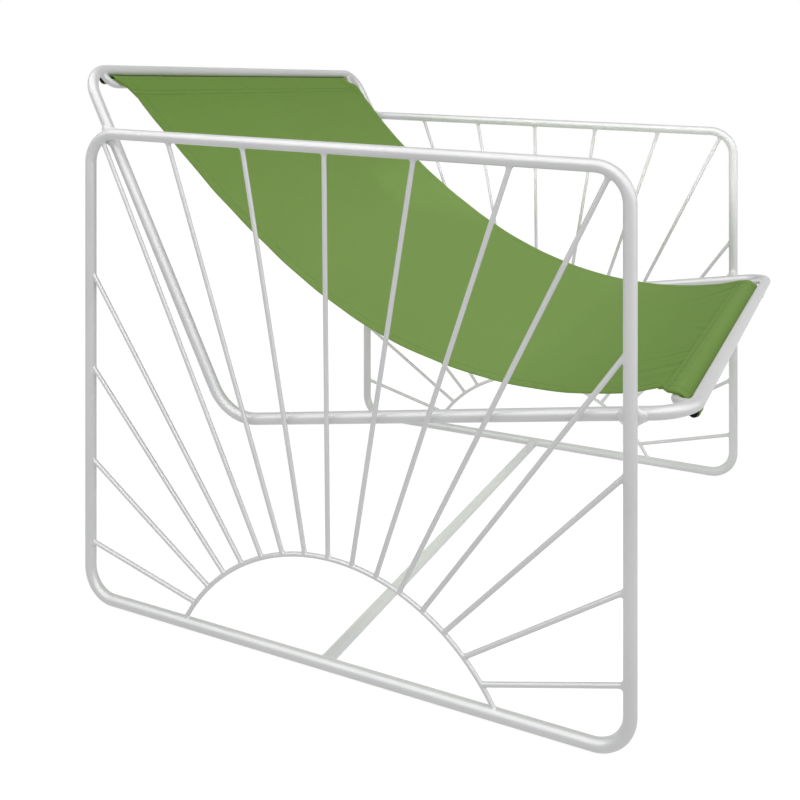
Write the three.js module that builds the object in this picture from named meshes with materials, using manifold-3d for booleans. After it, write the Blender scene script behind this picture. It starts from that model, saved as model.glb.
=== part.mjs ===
// Low lounge chair of welded steel tube with a canvas sling.
// Two side loops stand on the floor. Each holds a half sun: an arc of rod on the bottom rail,
// with fifteen rays that fan out to the loop. An L-shaped seat frame hangs between the loops,
// and the sling is held at its top and front bars by rods in its end pockets.
// Millimetres, +Z up. The sitter faces -Y, so the sitter's right hand is on the -X side.

import * as THREE from 'three';
import { mergeVertices } from 'three/addons/utils/BufferGeometryUtils.js';
import Module from 'manifold-3d';

const wasm = await Module();
wasm.setup();

// Stock
const tubeDiameter = 15;
const rayDiameter = 6;
const slingRodDiameter = 10;
const hemRodDiameter = 10;
const weldGap = 0.3;

// Side loops, measured between centre lines
const loopSpacing = 808;
const loopLength = 736;
const loopRearHeight = 630;
const loopFrontHeight = 610;
const loopBend = 40;

// Half sun in each loop: the arc stands on the bottom rail, a little in front of its middle
const arcWidth = 430;
const arcRise = 127;
const arcForward = 5.6;
const rayCount = 15;
const rayStep = THREE.MathUtils.degToRad(7.6);
// Where the rays end, as shares of the leg's height, of half the loop's length and of a bend
const rearLegShares = [0.117, 0.297, 0.501, 0.705];
const rearBendShare = 0.64;
const topRailShares = [0.648, 0.326, 0, -0.326, -0.648];
const frontBendShare = 0.667;
const frontLegShares = [0.691, 0.482, 0.281, 0.118];

// Seat frame: lapBend joins the back to the seat, cornerBend rounds its four corners
const lapBehindMiddle = 151.6;
const lapHeight = 265.9;
const backAngle = THREE.MathUtils.degToRad(61.8);
const seatAngle = THREE.MathUtils.degToRad(9.2);
const backLength = 510.6;
const seatLength = 586.9;
const lapBend = 62;
const cornerBend = 40;

// Each setIn is how far a rod's ends or the cloth's edges lie in from the frame's side rails

// Sling rods, welded inside the top and front bars to leave a slot for the cloth
const backSlotPitch = 24;
const frontSlotPitch = 26.5;
const slingRodSetIn = 30.7;
const slingRodStub = 0.5;

// Hem rods, lying behind the slots in the pockets of the sling
const hemRodSetIn = 40.7;
const hemRodInset = 8;
const hemRodGap = 0.6;
const hemRodChamfer = 1.5;

// Sling
const clothThickness = 1.2;
const clothStandOff = 2;
const pocketPlay = 0.4;
const slingSetIn = 50.7;
const slingShift = 9;
const slingSag = 7;
const backDeparture = THREE.MathUtils.degToRad(42);
const seatDeparture = THREE.MathUtils.degToRad(15.6);
const backHangShare = 0.095;
const seatHangShare = 0.511;
// Half width of the cloth, from the front rod (0) to the back rod (1)
const alongShares = [0, 0.035, 0.16, 0.44, 0.68, 0.86, 0.97, 1];
const widthShares = [0.982, 0.96, 0.976, 0.98, 0.969, 0.968, 0.99, 0.982];

// Facets
const tubeSides = 14;
const rodSides = 10;
const raySides = 8;
const bendSteps = 6;
const arcSteps = 28;
const hangSteps = 21;
const wrapSteps = 3;
const pocketSteps = 12;
const slingSteps = 9;

const tubeRadius = tubeDiameter / 2;
const rayRadius = rayDiameter / 2;
const slingRodRadius = slingRodDiameter / 2;
const hemRodRadius = hemRodDiameter / 2;
const loopX = loopSpacing / 2;
const halfLength = loopLength / 2;
const quarterTurn = Math.PI / 2;
const fullTurn = Math.PI * 2;
const across = new THREE.Vector3(1, 0, 0);

// Solids

function solidOf(geometry) {
  const bare = geometry.clone();
  bare.deleteAttribute('normal');
  bare.deleteAttribute('uv');
  const merged = mergeVertices(bare);
  return new wasm.Manifold(new wasm.Mesh({
    numProp: 3,
    vertProperties: new Float32Array(merged.getAttribute('position').array),
    triVerts: new Uint32Array(merged.getIndex().array),
  }));
}

function geometryOf(solid) {
  const mesh = solid.getMesh();
  const geometry = new THREE.BufferGeometry();
  geometry.setAttribute('position', new THREE.BufferAttribute(mesh.vertProperties, 3));
  geometry.setIndex(new THREE.BufferAttribute(mesh.triVerts, 1));
  geometry.computeVertexNormals();
  return geometry;
}

// A route of straights and round bends. It keeps one station at each end of a bend and a few
// inside it, so a tube swept along it has rings only where they are needed.
class BentPath extends THREE.Curve {
  constructor(stations, normal, closed) {
    super();
    this.stations = stations;
    this.closed = closed;
    this.steps = closed ? stations.length : stations.length - 1;
    this.normals = this.carriedNormals(normal);
  }

  stationAt(share) {
    return Math.round(share * this.steps) % this.stations.length;
  }

  getPoint(share, target = new THREE.Vector3()) {
    return target.copy(this.stations[this.stationAt(share)].point);
  }

  getPointAt(share, target) {
    return this.getPoint(share, target);
  }

  // The section turns with the route and never twists about it
  carriedNormals(first) {
    const normals = [first.clone()];
    for (let i = 1; i < this.stations.length; i += 1) {
      const turn = new THREE.Quaternion().setFromUnitVectors(
        this.stations[i - 1].tangent,
        this.stations[i].tangent,
      );
      normals.push(normals[i - 1].clone().applyQuaternion(turn));
    }
    return normals;
  }

  computeFrenetFrames() {
    const tangents = [];
    const normals = [];
    const binormals = [];
    for (let i = 0; i <= this.steps; i += 1) {
      const at = i % this.stations.length;
      const tangent = this.stations[at].tangent;
      tangents.push(tangent.clone());
      normals.push(this.normals[at].clone());
      binormals.push(new THREE.Vector3().crossVectors(tangent, this.normals[at]));
    }
    return { tangents, normals, binormals };
  }
}

// The stations of one round bend at a corner between two straights
function bendAt(before, corner, after, radius) {
  const inTangent = corner.clone().sub(before).normalize();
  const outTangent = after.clone().sub(corner).normalize();
  const turn = inTangent.angleTo(outTangent);
  const axis = new THREE.Vector3().crossVectors(inTangent, outTangent).normalize();
  const start = corner.clone().addScaledVector(inTangent, -radius * Math.tan(turn / 2));
  const inward = new THREE.Vector3().crossVectors(axis, inTangent);
  const centre = start.clone().addScaledVector(inward, radius);
  const stations = [];
  for (let i = 0; i <= bendSteps; i += 1) {
    const angle = turn * i / bendSteps;
    const outward = inward.clone().negate().applyAxisAngle(axis, angle);
    stations.push({
      point: centre.clone().addScaledVector(outward, radius),
      tangent: inTangent.clone().applyAxisAngle(axis, angle),
    });
  }
  return stations;
}

function closedRoute(corners, bends, normal) {
  const stations = corners.flatMap((corner, i) => bendAt(
    corners[(i + corners.length - 1) % corners.length],
    corner,
    corners[(i + 1) % corners.length],
    bends[i],
  ));
  return new BentPath(stations, normal, true);
}

function openRoute(corners, bend, normal) {
  const stations = [];
  for (let i = 1; i < corners.length - 1; i += 1) {
    stations.push(...bendAt(corners[i - 1], corners[i], corners[i + 1], bend));
  }
  const first = { point: corners[0], tangent: stations[0].tangent };
  const last = { point: corners[corners.length - 1], tangent: stations[stations.length - 1].tangent };
  return new BentPath([first, ...stations, last], normal, false);
}

function closedTube(route, radius) {
  return new THREE.TubeGeometry(route, route.steps, radius, tubeSides, true);
}

function openTube(route, radius, sides) {
  const section = new THREE.Shape();
  for (let i = 0; i < sides; i += 1) {
    const angle = fullTurn * i / sides;
    const method = i === 0 ? 'moveTo' : 'lineTo';
    section[method](radius * Math.cos(angle), radius * Math.sin(angle));
  }
  section.closePath();
  return new THREE.ExtrudeGeometry(section, { steps: route.steps, extrudePath: route });
}

// A straight round bar between two points, with a flat facet on its underside
function straightBar(from, to, radius, sides) {
  const run = to.clone().sub(from);
  const bar = new THREE.CylinderGeometry(radius, radius, run.length(), sides, 1, false, Math.PI / sides);
  const along = run.clone().normalize();
  const side = Math.abs(along.x) > Math.abs(along.z) ? new THREE.Vector3(0, 0, 1) : across;
  const third = new THREE.Vector3().crossVectors(along, side);
  const middle = from.clone().add(to).multiplyScalar(0.5);
  bar.applyMatrix4(new THREE.Matrix4().makeBasis(third, along, side).setPosition(middle));
  return bar;
}

// Side loops

function topRailHeight(y) {
  return THREE.MathUtils.mapLinear(y, halfLength, -halfLength, loopRearHeight, loopFrontHeight);
}

function loopRoute(x) {
  const corners = [
    new THREE.Vector3(x, halfLength, 0),
    new THREE.Vector3(x, -halfLength, 0),
    new THREE.Vector3(x, -halfLength, loopFrontHeight),
    new THREE.Vector3(x, halfLength, loopRearHeight),
  ];
  return closedRoute(corners, corners.map(() => loopBend), across);
}

function sideLoop(x) {
  return closedTube(loopRoute(x), tubeRadius);
}

function loopCutter(x) {
  return solidOf(closedTube(loopRoute(x), tubeRadius + weldGap));
}

// Half sun

const arcHalf = arcWidth / 2;
const arcRadius = (arcHalf ** 2 + arcRise ** 2) / (2 * arcRise);
const arcCentreZ = arcRise - arcRadius;
const arcReach = Math.asin(arcHalf / arcRadius);

function arcPoint(x, angle) {
  const out = arcRadius * Math.sin(angle);
  return new THREE.Vector3(x, -arcForward - out, arcCentreZ + arcRadius * Math.cos(angle));
}

function arcRoute(x) {
  const stations = [];
  for (let i = 0; i <= arcSteps; i += 1) {
    const angle = arcReach * (2 * i / arcSteps - 1);
    stations.push({
      point: arcPoint(x, angle),
      tangent: new THREE.Vector3(0, -Math.cos(angle), -Math.sin(angle)),
    });
  }
  return new BentPath(stations, across, false);
}

function sunArc(x, cutter) {
  return geometryOf(solidOf(openTube(arcRoute(x), rayRadius, raySides)).subtract(cutter));
}

function arcCutter(x) {
  return solidOf(openTube(arcRoute(x), rayRadius + weldGap, rodSides));
}

// A point on a top bend of the loop. The share runs from the leg to the top rail.
function bendPoint(x, legY, height, share) {
  const turn = share * quarterTurn;
  const inward = Math.sign(legY) * loopBend * (1 - Math.cos(turn));
  return new THREE.Vector3(x, legY - inward, height - loopBend * (1 - Math.sin(turn)));
}

// The rays' ends on the loop's centre line, from the foot of the rear leg over the top to the front
function rayEnds(x) {
  const rear = rearLegShares.map((share) => new THREE.Vector3(x, halfLength, share * loopRearHeight));
  const top = topRailShares.map((share) => {
    const y = share * halfLength;
    return new THREE.Vector3(x, y, topRailHeight(y));
  });
  const front = frontLegShares.map((share) => new THREE.Vector3(x, -halfLength, share * loopFrontHeight));
  return [
    ...rear,
    bendPoint(x, halfLength, loopRearHeight, rearBendShare),
    ...top,
    bendPoint(x, -halfLength, loopFrontHeight, frontBendShare),
    ...front,
  ];
}

// Each ray is coped at both ends: round the arc at its foot and round the loop at its tip
function sunRay(x, number, cutter) {
  const angle = (number - (rayCount - 1) / 2) * rayStep;
  const bar = straightBar(arcPoint(x, angle), rayEnds(x)[number], rayRadius, raySides);
  return geometryOf(solidOf(bar).subtract(cutter));
}

// Seat frame

const frameX = loopX - tubeDiameter - weldGap;
const lap = new THREE.Vector2(lapBehindMiddle, lapHeight);
const upBack = new THREE.Vector2(Math.cos(backAngle), Math.sin(backAngle));
const alongSeat = new THREE.Vector2(-Math.cos(seatAngle), Math.sin(seatAngle));
const topBar = lap.clone().addScaledVector(upBack, backLength);
const frontBar = lap.clone().addScaledVector(alongSeat, seatLength);

function inSpace(x, flat) {
  return new THREE.Vector3(x, flat.x, flat.y);
}

function seatFrameRoute() {
  const corners = [
    inSpace(-frameX, topBar),
    inSpace(frameX, topBar),
    inSpace(frameX, lap),
    inSpace(frameX, frontBar),
    inSpace(-frameX, frontBar),
    inSpace(-frameX, lap),
  ];
  const bends = [cornerBend, cornerBend, lapBend, cornerBend, cornerBend, lapBend];
  const backNormal = new THREE.Vector3(0, -Math.sin(backAngle), Math.cos(backAngle));
  return closedRoute(corners, bends, backNormal);
}

// The two ends of the sling: a bar, the way into the frame from it and the sitter's side.
// side is 1 where the sling runs forward from the bar and -1 where it runs backward.
const backEnd = {
  bar: topBar,
  inward: upBack.clone().negate(),
  sitter: new THREE.Vector2(-Math.sin(backAngle), Math.cos(backAngle)),
  departure: quarterTurn + backDeparture,
  slotPitch: backSlotPitch,
  side: 1,
};
const frontEnd = {
  bar: frontBar,
  inward: alongSeat.clone().negate(),
  sitter: new THREE.Vector2(Math.sin(seatAngle), Math.cos(seatAngle)),
  departure: quarterTurn - seatDeparture,
  slotPitch: frontSlotPitch,
  side: -1,
};

function placeAt(end, inset, lift) {
  return end.bar.clone().addScaledVector(end.inward, inset).addScaledVector(end.sitter, lift);
}

// Sling rods: straight across, with quarter bends that bring both ends into the bar

function slingRod(end, cutter) {
  const bend = end.slotPitch - slingRodStub;
  const endX = frameX - slingRodSetIn;
  const rodLine = placeAt(end, end.slotPitch, 0);
  const corners = [
    inSpace(-endX, end.bar),
    inSpace(-endX, rodLine),
    inSpace(endX, rodLine),
    inSpace(endX, end.bar),
  ];
  const route = openRoute(corners, bend, inSpace(0, end.sitter));
  return geometryOf(solidOf(openTube(route, slingRodRadius, rodSides)).subtract(cutter));
}

// Hem rods: they lie on the far side of the frame, clear of its rails, and reach past the slot

const hemRodDrop = tubeRadius + hemRodRadius + hemRodGap;

function hemRodLine(end) {
  return placeAt(end, hemRodInset, -hemRodDrop);
}

function hemRod(end) {
  const section = new THREE.Shape();
  section.absarc(0, 0, hemRodRadius - hemRodChamfer, 0, fullTurn);
  const endX = frameX - hemRodSetIn;
  const rod = new THREE.ExtrudeGeometry(section, {
    depth: 2 * (endX - hemRodChamfer),
    curveSegments: rodSides,
    bevelThickness: hemRodChamfer,
    bevelSize: hemRodChamfer,
    bevelSegments: 1,
  });
  const line = hemRodLine(end);
  const startX = hemRodChamfer - endX;
  const turned = new THREE.Matrix4().makeBasis(
    new THREE.Vector3(0, 1, 0),
    new THREE.Vector3(0, 0, 1),
    across,
  );
  rod.applyMatrix4(turned.setPosition(startX, line.x, line.y));
  return geometryOf(solidOf(rod));
}

// Sling: one strip of cloth whose outline is drawn from the side, then widened across the chair.
// At each end it passes over the sling rod, down through the slot and round the hem rod.

const halfCloth = clothThickness / 2;
const wrapRadius = slingRodRadius + clothStandOff + halfCloth;
const pocketRadius = hemRodRadius + pocketPlay + halfCloth;

function around(centre, radius, angle) {
  return new THREE.Vector2(
    centre.x + radius * Math.cos(angle),
    centre.y + radius * Math.sin(angle),
  );
}

function arcPoints(centre, radius, from, to, steps) {
  return Array.from({ length: steps + 1 }, (_, i) => (
    around(centre, radius, from + (to - from) * i / steps)
  ));
}

// The cloth leaves both circles along their common tangent on the bar's side: wrapRadius and
// pocketRadius differ, so that tangent leans a little from the line between the centres
function slingEnd(end) {
  const rod = placeAt(end, end.slotPitch, 0);
  const pocket = hemRodLine(end);
  const run = pocket.clone().sub(rod);
  const lean = Math.asin((wrapRadius - pocketRadius) / run.length());
  const tangent = run.angle() + end.side * (quarterTurn - lean);
  return { ...end, rod, pocket, tangent };
}

const backSling = slingEnd(backEnd);
const frontSling = slingEnd(frontEnd);

function hangingLine() {
  const top = around(backSling.rod, wrapRadius, backSling.departure);
  const front = around(frontSling.rod, wrapRadius, frontSling.departure);
  const span = top.distanceTo(front);
  const down = new THREE.Vector2(-Math.cos(backDeparture), -Math.sin(backDeparture));
  const back = new THREE.Vector2(Math.cos(seatDeparture), -Math.sin(seatDeparture));
  return new THREE.CubicBezierCurve(
    front,
    front.clone().addScaledVector(back, seatHangShare * span),
    top.clone().addScaledVector(down, backHangShare * span),
    top,
  );
}

// The hanging stretch, drawn lift above its middle line, without its two ends
function hangingPoints(lift) {
  const line = hangingLine();
  const points = [];
  for (let i = 1; i < hangSteps; i += 1) {
    const tangent = line.getTangent(i / hangSteps);
    const normal = new THREE.Vector2(-tangent.y, tangent.x);
    points.push(line.getPoint(i / hangSteps).addScaledVector(normal, lift));
  }
  return points;
}

function wrapPoints(end, lift) {
  return arcPoints(end.rod, wrapRadius + lift, end.departure, end.tangent, wrapSteps);
}

// The outside of a pocket, from the strip's upper face round to where its lower face joins
function pocketPoints(end) {
  const inner = pocketRadius - halfCloth;
  const outer = pocketRadius + halfCloth;
  const join = Math.acos(inner / outer);
  const last = end.tangent - end.side * (fullTurn - join);
  return arcPoints(end.pocket, outer, end.tangent, last, pocketSteps);
}

function slingOutline() {
  const outline = new THREE.Shape([
    ...pocketPoints(frontSling).reverse(),
    ...wrapPoints(frontSling, halfCloth).reverse().slice(1),
    ...hangingPoints(halfCloth),
    ...wrapPoints(backSling, halfCloth).slice(0, -1),
    ...pocketPoints(backSling),
    ...wrapPoints(backSling, -halfCloth).reverse(),
    ...hangingPoints(-halfCloth).reverse(),
    ...wrapPoints(frontSling, -halfCloth),
  ]);
  for (const end of [frontSling, backSling]) {
    const bore = arcPoints(end.pocket, pocketRadius - halfCloth, 0, fullTurn, pocketSteps);
    outline.holes.push(new THREE.Path(bore.slice(1)));
  }
  return outline;
}

function sling() {
  const cloth = new THREE.ExtrudeGeometry(slingOutline(), {
    depth: 1,
    steps: slingSteps,
    bevelEnabled: false,
  });
  const sides = new THREE.CubicInterpolant(alongShares, widthShares, 1);
  const frontY = frontSling.rod.x;
  const backY = backSling.rod.x;
  const places = cloth.getAttribute('position');
  for (let i = 0; i < places.count; i += 1) {
    const y = places.getX(i);
    const side = 2 * places.getZ(i) - 1;
    const along = THREE.MathUtils.clamp((y - frontY) / (backY - frontY), 0, 1);
    const halfWidth = sides.evaluate(along)[0] * (frameX - slingSetIn);
    const sag = slingSag * Math.sin(Math.PI * along) ** 2 * (1 - side ** 2);
    places.setXYZ(i, slingShift + side * halfWidth, y, places.getY(i) - sag);
  }
  return geometryOf(solidOf(cloth));
}

// Materials

function whitePaint() {
  return new THREE.MeshStandardMaterial({ color: 0xe4e3e7, roughness: 0.35, metalness: 0.1 });
}

function blackPaint() {
  return new THREE.MeshStandardMaterial({ color: 0x101010, roughness: 0.5, metalness: 0 });
}

function greenCanvas() {
  return new THREE.MeshStandardMaterial({ color: 0x6f9049, roughness: 0.85, metalness: 0 });
}

// Assembly

const chair = new THREE.Group();

function add(name, geometry, material) {
  const mesh = new THREE.Mesh(geometry, material);
  mesh.name = name;
  chair.add(mesh);
}

function addSide(name, x) {
  const loop = loopCutter(x);
  const arc = arcCutter(x);
  const both = loop.add(arc);
  add(`${name}_side_loop`, geometryOf(solidOf(sideLoop(x))), whitePaint());
  add(`${name}_arc`, sunArc(x, loop), whitePaint());
  for (let i = 0; i < rayCount; i += 1) {
    const number = String(i + 1).padStart(2, '0');
    add(`${name}_ray_${number}`, sunRay(x, i, both), whitePaint());
  }
  return loop;
}

const rightLoop = addSide('right', -loopX);
const leftLoop = addSide('left', loopX);

const stretcher = straightBar(
  new THREE.Vector3(-loopX, 0, 0),
  new THREE.Vector3(loopX, 0, 0),
  tubeRadius,
  tubeSides,
);
add(
  'floor_stretcher',
  geometryOf(solidOf(stretcher).subtract(rightLoop.add(leftLoop))),
  whitePaint(),
);

const frameRoute = seatFrameRoute();
const frameCutter = solidOf(closedTube(frameRoute, tubeRadius + weldGap));
add('seat_frame', geometryOf(solidOf(closedTube(frameRoute, tubeRadius))), whitePaint());
add('back_sling_rail', slingRod(backEnd, frameCutter), whitePaint());
add('front_sling_rail', slingRod(frontEnd, frameCutter), whitePaint());
add('back_hem_rod', hemRod(backEnd), blackPaint());
add('front_hem_rod', hemRod(frontEnd), blackPaint());
add('sling', sling(), greenCanvas());

// The chair stands on the floor at z = 0 with its outline centred on the origin
const box = new THREE.Box3().setFromObject(chair, true);
const middle = box.getCenter(new THREE.Vector3());
chair.position.set(-middle.x, -middle.y, -box.min.z);

export default chair;
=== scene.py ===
# %% [markdown]
# # A sun-ray lounge chair in white steel tube and green canvas
# Two side frames stand on the floor, each with a half sun of thin rods in it. An L-shaped seat
# frame hangs between them, and one strip of canvas hangs from its top bar to its front bar.
# The CAD model gives every size. This file gives the chair its round tubes, its welds, its
# sewn canvas and its paint, and it puts each piece exactly where its CAD solid is.

import math
import random

import bpy
import numpy as np
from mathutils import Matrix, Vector


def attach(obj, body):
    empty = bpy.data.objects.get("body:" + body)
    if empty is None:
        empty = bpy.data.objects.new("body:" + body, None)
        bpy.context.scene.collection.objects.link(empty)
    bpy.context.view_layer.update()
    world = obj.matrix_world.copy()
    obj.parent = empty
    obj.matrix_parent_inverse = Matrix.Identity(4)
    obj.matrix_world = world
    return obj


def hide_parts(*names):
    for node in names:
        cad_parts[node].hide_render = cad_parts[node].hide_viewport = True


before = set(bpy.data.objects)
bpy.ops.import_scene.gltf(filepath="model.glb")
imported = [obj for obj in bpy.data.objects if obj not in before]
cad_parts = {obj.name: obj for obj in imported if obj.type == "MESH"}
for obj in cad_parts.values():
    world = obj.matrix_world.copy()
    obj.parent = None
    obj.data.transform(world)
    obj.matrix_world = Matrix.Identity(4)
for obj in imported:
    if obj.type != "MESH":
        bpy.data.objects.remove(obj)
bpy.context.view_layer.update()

# %% [markdown]
# ## Sizes
# A tube chair is a few numbers: the tube's radius, the lines the tubes follow, and the radius
# of each bend. The frame's own are written here once, in metres, with +Y at the back and the
# sitter facing -Y. A point on a side view is written as (y, z).

# %% Sizes of the frame
TUBE_R = 0.0075
RAY_R = 0.003
SLING_ROD_R = 0.005
HEM_ROD_R = 0.005
RAIL_Z = 0.0073
LOOP_X = 0.404
SIDES = {"right": -LOOP_X, "left": LOOP_X}
LOOP_REAR, LOOP_FRONT = 0.3831, -0.3529
REAR_RISE, FRONT_RISE = 0.630, 0.610
REAR_TOP, FRONT_TOP = RAIL_Z + REAR_RISE, RAIL_Z + FRONT_RISE
LOOP_BEND = 0.040
FRAME_X = 0.3887
LAP = (0.1667, 0.2732)
BACK_LENGTH, SEAT_LENGTH = 0.5106, 0.5869
BACK_ANGLE, SEAT_ANGLE = math.radians(61.8), math.radians(9.2)
UP_BACK = (math.cos(BACK_ANGLE), math.sin(BACK_ANGLE))
ALONG_SEAT = (-math.cos(SEAT_ANGLE), math.sin(SEAT_ANGLE))
DOWN_BACK, INTO_SEAT = (-UP_BACK[0], -UP_BACK[1]), (-ALONG_SEAT[0], -ALONG_SEAT[1])
TOP_BAR = (LAP[0] + BACK_LENGTH * UP_BACK[0], LAP[1] + BACK_LENGTH * UP_BACK[1])
FRONT_BAR = (LAP[0] + SEAT_LENGTH * ALONG_SEAT[0], LAP[1] + SEAT_LENGTH * ALONG_SEAT[1])
LAP_BEND, CORNER_BEND = 0.062, 0.040
print("top bar", [round(v, 4) for v in TOP_BAR], "front bar", [round(v, 4) for v in FRONT_BAR])

# %% [markdown]
# ## The way a tube is bent
# A workshop makes such a frame from straight tube: push it through to the next mark, bend it
# round a former, push it on. The same steps work in edit mode. A ring of vertices is extruded
# for each straight and spun for each bend, so the section stays round and nothing is twisted.
# A curve with a bevel would be quicker, but its rings bunch up in the corners.

# %% Push and bend
SHARP = math.radians(50)
TUBE_SIDES = 36


def deselect():
    bpy.ops.object.select_all(action="DESELECT")


def new_piece(name):
    """Names the new primitive, and moves its place and turn into its mesh."""
    piece = bpy.context.object
    piece.name = piece.data.name = name
    bpy.ops.object.transform_apply(location=True, rotation=True, scale=True)
    return piece


def open_mesh(piece):
    """Opens one piece in edit mode, with all of its mesh selected."""
    deselect()
    piece.select_set(True)
    bpy.context.view_layer.objects.active = piece
    bpy.ops.object.mode_set(mode="EDIT")
    bpy.ops.mesh.select_all(action="SELECT")


def close_mesh(sharp=SHARP):
    """Faces it all out, leaves edit mode and shades it smooth, but for corners this sharp."""
    bpy.ops.mesh.normals_make_consistent(inside=False)
    bpy.ops.object.mode_set(mode="OBJECT")
    if sharp:
        bpy.ops.object.shade_smooth_by_angle(angle=sharp)
    else:
        bpy.ops.object.shade_smooth()


def start_tube(name, centre, direction, radius, sides):
    """Leaves a new ring in edit mode, square to direction, ready to be pushed and bent."""
    deselect()
    bpy.ops.mesh.primitive_circle_add(
        vertices=sides,
        radius=radius,
        fill_type="NOTHING",
        location=centre,
        rotation=Vector(direction).to_track_quat("Z", "X").to_euler(),
    )
    tube = new_piece(name)
    open_mesh(tube)
    return tube


def push(step):
    bpy.ops.mesh.extrude_region_move(TRANSFORM_OT_translate={"value": tuple(step)})


def bend(centre, axis, turn, steps):
    """Spin turns the other way from the right-hand rule, so the angle changes sign."""
    bpy.ops.mesh.spin(steps=steps, angle=-turn, center=tuple(centre), axis=tuple(axis))


def leave_tube(tube):
    """Joins the last ring to the first where they meet, and caps open ends."""
    bpy.ops.mesh.select_all(action="SELECT")
    bpy.ops.mesh.remove_doubles(threshold=1e-5)
    bpy.ops.mesh.fill_holes(sides=0)
    close_mesh()
    return tube


def corner_of(before, corner, after, radius):
    """Where one bend starts and ends, its centre, its axis and its turn."""
    came, goes = (corner - before).normalized(), (after - corner).normalized()
    turn = came.angle(goes)
    axis = came.cross(goes).normalized()
    back = radius * math.tan(turn / 2)
    start = corner - came * back
    return start, corner + goes * back, start + axis.cross(came) * radius, axis, turn


def closed_frame(name, corners, bends, steps=16):
    """A tube bent round a closed line of corners until it meets its own start."""
    n = len(corners)
    places = [
        corner_of(corners[i - 1], corners[i], corners[(i + 1) % n], bends[i]) for i in range(n)
    ]
    here = places[0][1]
    tube = start_tube(name, here, corners[1] - corners[0], TUBE_R, TUBE_SIDES)
    for start, end, centre, axis, turn in places[1:] + places[:1]:
        push(start - here)
        bend(centre, axis, turn, steps)
        here = end
    return leave_tube(tube)


# %% [markdown]
# ## Side loops and seat frame
# Each side loop is one tube bent at four corners and welded shut. Its top rail drops 20 mm
# towards the front. The seat frame is one tube too, bent at its four corners and folded at the
# lap, which is what makes the L. It is narrower than the loops by one tube on each side.

# %% Bend the loops and the seat frame
def side_loop(name, x):
    corners = [
        Vector((x, LOOP_REAR, RAIL_Z)),
        Vector((x, LOOP_FRONT, RAIL_Z)),
        Vector((x, LOOP_FRONT, FRONT_TOP)),
        Vector((x, LOOP_REAR, REAR_TOP)),
    ]
    return closed_frame(name, corners, [LOOP_BEND] * 4)


loops = {side: side_loop(f"{side}_loop_tube", x) for side, x in SIDES.items()}
seat_tube = closed_frame(
    "seat_frame_tube",
    [
        Vector((-FRAME_X, *TOP_BAR)),
        Vector((FRAME_X, *TOP_BAR)),
        Vector((FRAME_X, *LAP)),
        Vector((FRAME_X, *FRONT_BAR)),
        Vector((-FRAME_X, *FRONT_BAR)),
        Vector((-FRAME_X, *LAP)),
    ],
    [CORNER_BEND, CORNER_BEND, LAP_BEND, CORNER_BEND, CORNER_BEND, LAP_BEND],
)
for tube in (*loops.values(), seat_tube):
    print(tube.name, len(tube.data.polygons), "faces")

# %% [markdown]
# ## Welds
# Where a rod meets a tube, the welder leaves a small hollow fillet that follows both. So every
# rod gets four more rings at each end. The outer ring is seated on the tube it meets, the inner
# one stays on the rod, and the rings between follow a curve that bends towards the corner of
# the joint. Its width wanders a little, as a hand weld does, and the paint covers it all.

# %% Seat a rod's end on a tube
WELD_RINGS, RING_GAP = 5, 0.0001
WELD_WANDER, WELD_RIM, WELD_SINK = 0.13, 0.9, 0.0002
WELD_LEG = {"arc": 0.0035, "foot": 0.0028, "tip": 0.0046, "stretcher": 0.004, "sling": 0.003}
PHASE = (0, 6.28)


def seat_end(rod, rings, centre, direction, radius, target, leg, seed):
    """rings run from the rod to the rim. centre is on the target's centre line."""
    direction = Vector(direction).normalized()
    chance = random.Random(seed)
    waves = [(chance.uniform(*PHASE), chance.uniform(0.5, 1)) for _ in range(3)]
    verts = rod.data.vertices
    reach = 0.05
    for place in range(len(rings[0])):
        out = verts[rings[0][place]].co - centre
        out = (out - direction * out.dot(direction)).normalized()
        origin = centre - direction * reach + out * radius
        hit, where, _, _ = target.ray_cast(origin, direction)
        depth = min((where - origin).length, reach) if hit else reach
        toe = origin + direction * depth
        angle = place / len(rings[0]) * 2 * math.pi
        ripple = sum(a * math.sin((k + 2) * angle + p) for k, (p, a) in enumerate(waves))
        size = leg * (1 + WELD_WANDER * ripple)
        start = toe - direction * size
        _, rim, normal, _ = target.closest_point_on_mesh(toe + out * size * WELD_RIM)
        rim = rim - normal * WELD_SINK
        for k, ring in enumerate(rings):
            t = k / (len(rings) - 1)
            verts[ring[place]].co = start * (1 - t) ** 2 + toe * 2 * t * (1 - t) + rim * t * t


def ring_list(sides, first, count, backwards=False):
    rings = [list(range(k * sides, (k + 1) * sides)) for k in range(first, first + count)]
    return rings[::-1] if backwards else rings


def close_rod(rod):
    open_mesh(rod)
    bpy.ops.mesh.fill_holes(sides=0)
    close_mesh()
    return rod


def push_weld_rings(direction):
    for _ in range(WELD_RINGS - 1):
        push(direction * RING_GAP)


# %% [markdown]
# ## Half sun
# The arc is one rod, bent to a single radius and welded to the bottom rail at both feet. It is
# a spin of one ring about the centre of that circle. The fifteen rays are spaced evenly round
# the arc. Their tips end on the rear leg, the top rail, the front leg and the two top bends.

# %% Bend the arcs
ARC_HALF, ARC_RISE, ARC_FORWARD = 0.215, 0.127, 0.0056
ARC_R = (ARC_HALF**2 + ARC_RISE**2) / (2 * ARC_RISE)
LOOP_MIDDLE = (LOOP_REAR + LOOP_FRONT) / 2
ARC_Y, ARC_Z = LOOP_MIDDLE - ARC_FORWARD, RAIL_Z + ARC_RISE - ARC_R
ARC_REACH, ARC_WELD_TURN = math.asin(ARC_HALF / ARC_R), 0.045
RAY_SIDES = 18


def on_arc(x, angle):
    return Vector((x, ARC_Y - ARC_R * math.sin(angle), ARC_Z + ARC_R * math.cos(angle)))


def along_arc(angle):
    return Vector((0, -math.cos(angle), -math.sin(angle)))


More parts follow.
